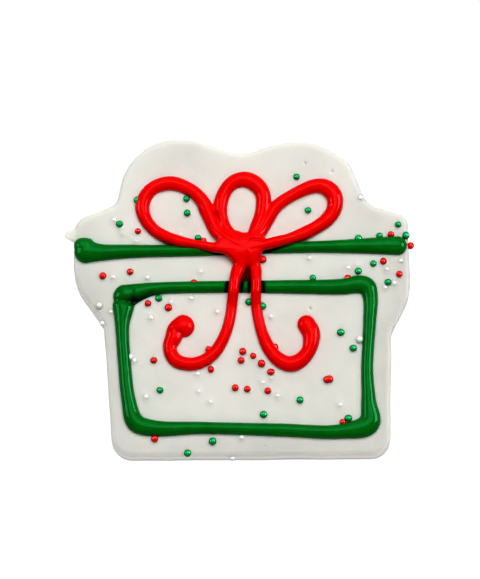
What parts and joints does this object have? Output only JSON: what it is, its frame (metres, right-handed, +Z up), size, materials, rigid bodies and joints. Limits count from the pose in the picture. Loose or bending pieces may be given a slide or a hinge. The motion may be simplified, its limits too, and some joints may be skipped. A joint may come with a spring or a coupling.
{
  "type": "dog cookie",
  "caption": "Flat white-coated dog cookie shaped like a wrapped gift, with a piped green lid line and box, a piped red bow laid over both, and small round sprinkles.",
  "frame": {"origin": "under the middle of the cookie's box, at the height of its flat underside", "axes": "+Z up through the thickness, out of the iced face; +Y from the box to the bow; +X along the lid line"},
  "size_m": [0.1011, 0.0941, 0.013],
  "materials": {
    "white_coating": "satin off-white yoghurt coating, slightly uneven",
    "green_icing": "set glossy green icing",
    "red_icing": "set glossy red icing"
  },
  "bodies": {
    "root": {"coated_biscuit": "white_coating", "lid_line": "green_icing", "box_line": "green_icing", "bow": "red_icing"}
  },
  "joints": []
}
